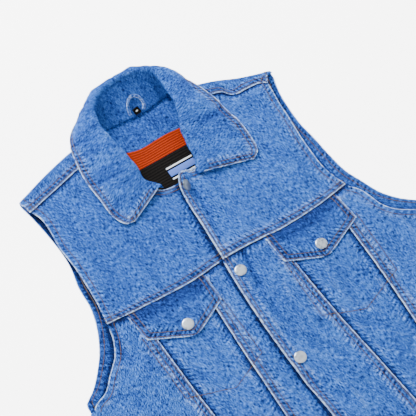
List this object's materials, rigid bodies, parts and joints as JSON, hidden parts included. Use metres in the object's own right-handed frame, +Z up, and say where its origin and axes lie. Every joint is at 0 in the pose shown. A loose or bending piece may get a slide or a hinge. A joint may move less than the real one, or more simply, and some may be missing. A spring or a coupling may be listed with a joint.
{
  "type": "denim vest",
  "caption": "Sleeveless denim vest lying face up: turned-down collar, front and back yokes, pointed chest pocket flaps, snap front and waistband.",
  "frame": {"origin": "centre of the bounding box at its base, on the surface that the vest lies on", "axes": "+Y to the neck, along the length; +X to the wearer's left; +Z up, out of the front"},
  "size_m": [0.526, 0.7512, 0.0362],
  "materials": {
    "denim": "stonewashed cotton twill",
    "pewter": "pale satin metal",
    "orange_lining": "stitched woven lining",
    "black_lining": "ribbed woven lining"
  },
  "bodies": {
    "root": {"front_yoke_L": "denim", "front_yoke_R": "denim", "front_centre_L": "denim", "front_mid_L": "denim", "front_side_L": "denim", "front_centre_R": "denim", "front_mid_R": "denim", "front_side_R": "denim", "waistband_front_L": "denim", "waistband_front_R": "denim", "waistband_back": "denim", "back_panel": "denim", "back_yoke": "denim", "collar": "denim", "pocket_flap_L": "denim", "pocket_flap_R": "denim", "hang_loop": "denim", "snap_front_1": "pewter", "snap_front_2": "pewter", "snap_front_3": "pewter", "snap_front_4": "pewter", "snap_front_5": "pewter", "snap_pocket_L": "pewter", "snap_pocket_R": "pewter", "lining_orange": "orange_lining", "lining_black": "black_lining", "size_tab": "black_lining"}
  },
  "joints": []
}
